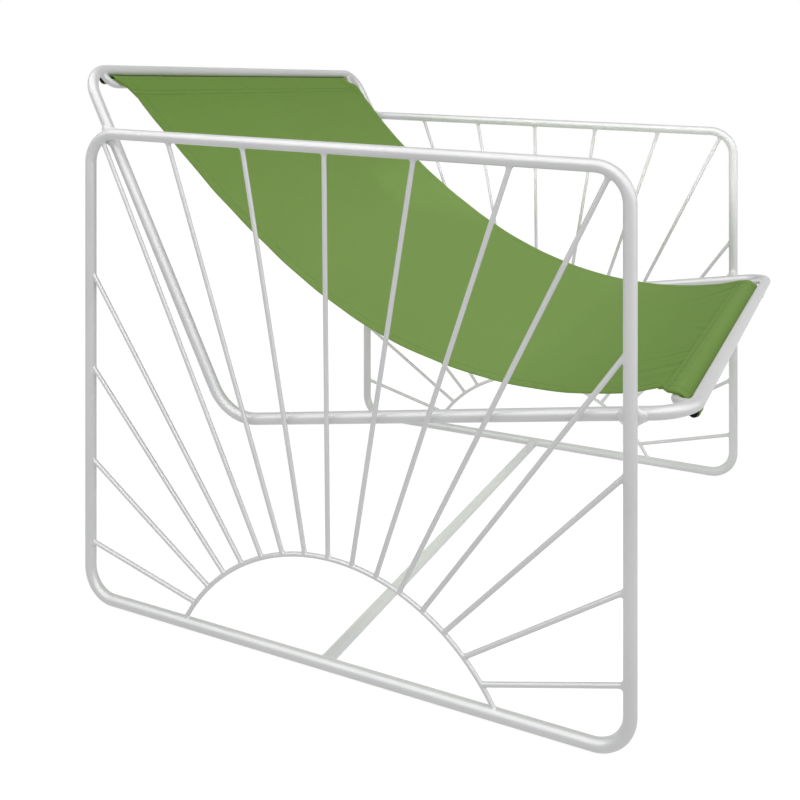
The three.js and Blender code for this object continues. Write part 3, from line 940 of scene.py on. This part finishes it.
def rows_of_stitches():
    """Start and end of every stitch on the flat cut."""
    half_way = len(strip_s) // 2
    top, end = slice(int(np.argmax(visible)), half_way), slice(half_way, None)
    front_s = [np.interp(-row, -front_past[end], strip_s[end]) for row in FRONT_ROWS]
    back_s = [np.interp(row, back_past[top], strip_s[top]) for row in BACK_ROWS]
    pairs = []
    for s in front_s + back_s:
        for u in np.arange(-FOLD + 4, FOLD - 4, STITCH_STEP):
            pairs.append(((u, s), (u + STITCH, s)))
    for u in (HEM_ROW - FOLD, FOLD - HEM_ROW):
        for s in np.arange(back_s[0], front_s[0], STITCH_STEP):
            pairs.append(((u, s), (u, s + STITCH)))
    return np.array(pairs)


stitch = stitch_blank()
pairs = rows_of_stitches()
start, end = (lay(*pairs[:, k].T, CLOTH_T / 2 + THREAD_LIFT) for k in (0, 1))
way = end - start
span = np.linalg.norm(way, axis=1, keepdims=True)
way /= span
helper = np.where(np.abs(way[:, :1]) > 0.5, [[0.0, 0.0, 1.0]], [[1.0, 0.0, 0.0]])
side = np.cross(way, helper)
side /= np.linalg.norm(side, axis=1, keepdims=True)
third = np.cross(way, side)
one = np.array([v.co for v in stitch.data.vertices])
faces = [tuple(p.vertices) for p in stitch.data.polygons]
cloud = (
    ((start + end) / 2)[:, None]
    + one[None, :, :1] * side[:, None]
    + one[None, :, 1:2] * third[:, None]
    + one[None, :, 2:] * (way * span * 1000 / STITCH)[:, None]
)
thread_mesh = bpy.data.meshes.new("canvas_stitching")
all_faces = [tuple(i + k * len(one) for i in face) for k in range(len(pairs)) for face in faces]
thread_mesh.from_pydata(cloud.reshape(-1, 3).tolist(), [], all_faces)
stitching = bpy.data.objects.new("canvas_stitching", thread_mesh)
bpy.context.collection.objects.link(stitching)
bpy.data.objects.remove(stitch)
open_mesh(stitching)
close_mesh()
print("stitches", len(pairs), "faces", len(thread_mesh.polygons))

# %% [markdown]
# ## Materials
# A material is a tree of nodes that ends in one shader. Most of them are made the same way: a
# noise on Object coordinates, a blend between two close colours, and a bump. The helpers below
# say that once. A value goes into a socket as it is, or as a link from another socket.

# %% Helpers for materials
def put(tree, socket, value):
    if isinstance(value, bpy.types.NodeSocket):
        tree.links.new(value, socket)
    else:
        socket.default_value = value


def plug(tree, node, values):
    """Values by name, for the node's sockets or for its own settings."""
    for key, value in values.items():
        if key in node.inputs:
            put(tree, node.inputs[key], value)
        else:
            setattr(node, key, value)


def feed(tree, node, first, *values):
    """Values for the node's sockets in turn, from socket number first."""
    for k, value in enumerate(values, first):
        put(tree, node.inputs[k], value)
    return node.outputs


def new_material(name):
    material = bpy.data.materials.new(name)
    material.use_nodes = True
    return material, material.node_tree, material.node_tree.nodes["Principled BSDF"]


def add_node(tree, kind, **values):
    node = tree.nodes.new(kind)
    plug(tree, node, values)
    return node


def maths(tree, operation, *values, **settings):
    node = add_node(tree, "ShaderNodeMath", operation=operation, **settings)
    return feed(tree, node, 0, *values)[0]


def noise_on(tree, source, scale, detail=2.0, roughness=0.5):
    noise = add_node(
        tree, "ShaderNodeTexNoise", Vector=source, Scale=scale, Detail=detail, Roughness=roughness
    )
    return noise.outputs["Fac"]


def blend_colours(tree, factor, low, high, start=0.35, end=0.65):
    ramp = add_node(tree, "ShaderNodeValToRGB", Fac=factor)
    first, last = ramp.color_ramp.elements
    first.position, last.position = start, end
    first.color, last.color = (*low, 1), (*high, 1)
    return ramp.outputs["Color"]


def spread(tree, factor, low, high):
    node = tree.nodes.new("ShaderNodeMapRange")
    plug(tree, node, {"Value": factor, "To Min": low, "To Max": high})
    return node.outputs["Result"]


# %% [markdown]
# ## Powder coats
# The frame has a satin white coat: nearly even in colour, with a faint orange-peel texture that
# only shows where light grazes it. The coat of the hem rods is black and duller. The thread
# uses the same recipe in green, because it is too thin to need more.

# %% Powder coats
def powder_coat(name, low, high, rough, peel, ior_level):
    material, tree, shader = new_material(name)
    place = tree.nodes.new("ShaderNodeTexCoord").outputs["Object"]
    tone = blend_colours(tree, noise_on(tree, place, 9.0, 3.0), low, high)
    matt = spread(tree, noise_on(tree, place, 60.0), *rough)
    peeled = noise_on(tree, place, 700.0, 1.0)
    bump = add_node(tree, "ShaderNodeBump", Strength=peel, Distance=0.0002, Height=peeled)
    plug(tree, shader, {
        "Base Color": tone, "Roughness": matt, "Normal": bump.outputs["Normal"],
        "Specular IOR Level": ior_level,
    })
    return material


white_coat = powder_coat(
    "white_powder_coat", (0.65, 0.65, 0.66), (0.69, 0.69, 0.695), (0.38, 0.46), 0.2, 0.5
)
black_coat = powder_coat(
    "black_powder_coat", (0.003, 0.003, 0.003), (0.006, 0.006, 0.006), (0.55, 0.65), 0.5, 0.06
)
green_thread = powder_coat(
    "green_thread", (0.12, 0.21, 0.045), (0.16, 0.26, 0.06), (0.6, 0.75), 0.3, 0.3
)

# %% [markdown]
# ## Canvas
# A plain weave passes each thread over one and under the next. A checker in UV space says
# which thread is on top, and a cosine across that thread gives its round back. The threads
# are 0.8 mm apart, as in a heavy duck canvas. A ramp along the strip paints shade into the
# cloth's colour: palest in the seat, darker towards both ends where the light falls less, and
# nearly black in the slots. An attribute laid on the creases paints light on their tops and
# shade in their hollows and in the sewn grooves.

# %% Woven canvas
THREADS = 1250.0
# The last range below sets how far the creases' painted light and shade reach.
CLOUDY, STREAK, CREASE_LIGHT_RANGE = 0.12, (0.94, 1.0), (0.72, 1.28)
# Painted shade along the strip, as (millimetres along it, brightness): darker towards both ends
# and nearly black in the slots and pockets.
PAINTED_SHADE_STOPS = (
    (0, 0.05), (130, 0.1), (160, 0.23), (224, 0.43), (352, 0.8), (470, 1.0), (545, 0.93),
    (776, 0.89), (804, 0.69), (836, 0.64), (868, 0.4), (932, 0.09), (985, 0.02), (990, 0.45),
    (1012, 0.6), (1050, 0.1),
)


def waves_across(tree, value, turns):
    turned = maths(tree, "MULTIPLY", value, turns * math.pi)
    return maths(tree, "ABSOLUTE", maths(tree, "COSINE", turned))


def times(tree, one, other):
    mix = add_node(tree, "ShaderNodeMix", data_type="RGBA", blend_type="MULTIPLY", Factor=1.0)
    return feed(tree, mix, 6, one, other)[2]


def greys(tree, factor, low, high, *places):
    return blend_colours(tree, factor, (low,) * 3, (high,) * 3, *places)


# A ramp that paints shade along the strip.
def painted_shade_ramp(tree, share):
    ramp = add_node(tree, "ShaderNodeValToRGB", Fac=share)
    stops = ramp.color_ramp.elements
    stops.remove(stops[-1])
    for k, (s, value) in enumerate(PAINTED_SHADE_STOPS):
        stop = stops.new(s / STRIP_LENGTH) if k else stops[0]
        stop.color = (value, value, value, 1)
    return ramp.outputs["Color"]


def canvas(name, low, high, weave):
    material, tree, shader = new_material(name)
    texture = tree.nodes.new("ShaderNodeTexCoord")
    place, cut = texture.outputs["Object"], texture.outputs["UV"]
    across, along, _ = add_node(tree, "ShaderNodeSeparateXYZ", Vector=cut).outputs
    # Painted shade along the strip, with random clouds in the dye on top of it.
    painted_shade = painted_shade_ramp(tree, maths(tree, "DIVIDE", along, STRIP_LENGTH / 1000))
    cloudy = spread(tree, noise_on(tree, place, 5.0, 4.0, 0.6), -CLOUDY, CLOUDY)
    shade_and_clouds = maths(tree, "ADD", painted_shade, cloudy, use_clamp=True)
    tone = blend_colours(tree, shade_and_clouds, low, high, 0.0, 1.0)
    slubs = add_node(tree, "ShaderNodeMapping", Vector=cut, Scale=(1400, 60, 1))
    streak = greys(tree, noise_on(tree, slubs.outputs["Vector"], 1.0), *STREAK)
    # The creases' painted light and shade: paler on their tops, darker in their hollows and
    # grooves.
    rubbed = add_node(tree, "ShaderNodeAttribute", attribute_name="rubbed")
    crease_light_tone = greys(tree, rubbed.outputs["Fac"], *CREASE_LIGHT_RANGE, 0.0, 1.0)
    checker = add_node(tree, "ShaderNodeTexChecker", Vector=cut, Scale=THREADS)
    over = add_node(tree, "ShaderNodeMix", data_type="FLOAT", Factor=checker.outputs["Fac"])
    warp, weft = (waves_across(tree, value, THREADS) for value in (across, along))
    woven = feed(tree, over, 2, warp, weft)[0]
    bump = add_node(tree, "ShaderNodeBump", Strength=weave, Distance=0.00015, Height=woven)
    plug(tree, shader, {
        "Base Color": times(tree, times(tree, tone, streak), crease_light_tone),
        "Normal": bump.outputs["Normal"], "Roughness": 0.85, "Specular IOR Level": 0.03,
        "Sheen Weight": 0.06, "Sheen Roughness": 0.5,
    })
    return material


green_canvas = canvas("green_duck_canvas", (0.177, 0.3176, 0.056), (0.24, 0.3986, 0.092), 0.5)
print("materials", [m.name for m in (white_coat, black_coat, green_canvas, green_thread)])

# %% [markdown]
# ## Fit the pieces to the CAD
# Every piece takes the place of its CAD node, gets its material and rides on the body that
# the node belongs to. The frame and the sling are one body, and each hem rod is a body of its
# own, because it slides.

# %% Hand the pieces over
def stand_for(piece, material, slot, body, *nodes):
    piece.data.materials.clear()
    piece.data.materials.append(material)
    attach(piece, body)
    if nodes:
        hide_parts(*nodes)


in_white = []
for side in SIDES:
    in_white += [(loops[side], f"{side}_side_loop"), (arcs[side], f"{side}_arc")]
    in_white += [(ray, f"{side}_ray_{k:02d}") for k, ray in enumerate(rays[side], 1)]
in_white += [(pad,) for pad in pads]
in_white += [(seat_tube, "seat_frame"), (stretcher, "floor_stretcher")]
in_white += [(back_rod, "back_sling_rail"), (front_rod, "front_sling_rail")]
for piece, *nodes in in_white:
    stand_for(piece, white_coat, "white_paint", "chair", *nodes)
stand_for(back_hem, black_coat, "black_paint", "back_rod", "back_hem_rod")
stand_for(front_hem, black_coat, "black_paint", "front_rod", "front_hem_rod")
stand_for(sling, green_canvas, "green_canvas", "chair", "sling")
stand_for(stitching, green_thread, "green_canvas", "chair")

# %% [markdown]
# ## Camera
# The picture was taken from the sitter's right and a little in front, level, with the horizon
# near the top of the frame. So the camera looks straight ahead and the lens is shifted down,
# which keeps upright tubes parallel.

# %% Place the camera
camera_data = bpy.data.cameras.new("photo_camera")
camera_data.sensor_width = 36
camera_data.lens = 44.17
camera_data.shift_y = -0.3973
camera = bpy.data.objects.new("photo_camera", camera_data)
bpy.context.collection.objects.link(camera)
camera.location = (-1.4256, -0.5840, 0.7061)
camera.rotation_euler = (math.pi / 2, 0, math.radians(-64.05))
bpy.context.scene.camera = camera

# %% [markdown]
# ## Floor, light and background
# A studio cut-out: a plain pale floor and an even white room. The white behind the chair comes
# from what the camera sees of the world and of the floor, not from more light on the chair, so
# pale paint keeps its shape.

# %% Room and floor
WHITE, SHADOW_GREY = (1, 1, 1, 1), (0.3, 0.3, 0.3, 1)
ROOM_LEVEL, FLOOR_LEVELS = 0.705, (0.46, 0.83)


def seen_directly(tree):
    """1 for what the camera, a reflection or a clear surface sees, 0 for light on things."""
    path = tree.nodes.new("ShaderNodeLightPath").outputs
    seen = maths(tree, "MAXIMUM", path["Is Camera Ray"], path["Is Glossy Ray"])
    return maths(tree, "MAXIMUM", seen, path["Is Transmission Ray"])


world = bpy.data.worlds.new("studio")
bpy.context.scene.world = world
world.use_nodes = True
tree = world.node_tree
tree.nodes.clear()
room = add_node(tree, "ShaderNodeBackground", Color=WHITE, Strength=ROOM_LEVEL).outputs[0]
white = add_node(tree, "ShaderNodeBackground", Color=WHITE, Strength=1.0).outputs[0]
choose = tree.nodes.new("ShaderNodeMixShader")
chosen = feed(tree, choose, 0, seen_directly(tree), room, white)[0]
add_node(tree, "ShaderNodeOutputWorld", Surface=chosen)

deselect()
bpy.ops.mesh.primitive_plane_add(size=12, location=(0, 0, -0.0004))
floor = new_piece("studio_floor")
floor_material, tree, shader = new_material("studio_floor")
tree.nodes.remove(shader)
level = spread(tree, seen_directly(tree), *FLOOR_LEVELS)
glow = add_node(tree, "ShaderNodeEmission", Color=WHITE, Strength=level).outputs[0]
shadow = add_node(tree, "ShaderNodeBsdfDiffuse", Color=SHADOW_GREY).outputs[0]
both = feed(tree, tree.nodes.new("ShaderNodeAddShader"), 0, shadow, glow)[0]
put(tree, tree.nodes["Material Output"].inputs["Surface"], both)
floor.data.materials.append(floor_material)

# %% [markdown]
# Two large softboxes are seen only in reflections: the one overhead puts a bright band on every
# tube, and the one in front gives the front legs a bright edge. Three small lamps only shed
# light: a window from the front right, a bounce under the seat, and a narrow one inside the
# chair that lifts the far rods, with little spread so that it nearly misses the cloth.

# %% Light the studio
FILL_SPREAD = math.radians(50)
REFLECTED = (
    ("overhead_softbox", (-1.5, 0.1, 2.35), (0, 0.1, 0.4), (5.4, 3.6), 440),
    ("front_softbox", (-0.5, -3.0, 1.4), (-0.3, 0, 0.5), (3.4, 2.4), 150),
)
SHEDDING = (
    ("window_light", (-1.2, -2.2, 2.0), (0, 0, 0.4), (1.2, 1.2), 7),
    ("under_seat_bounce", (0, -0.1, 0.255), (0, -0.1, 0), (0.62, 0.44), 0.8),
    ("far_side_fill", (0.12, -0.08, 0.55), (0.4, -0.08, 0.55), (0.62, 0.12), 0.18),
)


def soft_light(name, place, aim, size, power):
    data = bpy.data.lights.new(name, "AREA")
    data.shape = "RECTANGLE"
    data.size, data.size_y = size
    data.energy = power
    light = bpy.data.objects.new(name, data)
    bpy.context.collection.objects.link(light)
    light.location = place
    light.rotation_euler = (Vector(aim) - Vector(place)).to_track_quat("-Z", "Y").to_euler()
    light.visible_camera = False
    return light


for lamp in REFLECTED:
    soft_light(*lamp).visible_diffuse = False
for lamp in SHEDDING:
    soft_light(*lamp).visible_glossy = False
bpy.data.lights["far_side_fill"].spread = FILL_SPREAD
bpy.context.scene.view_settings.view_transform = "Standard"
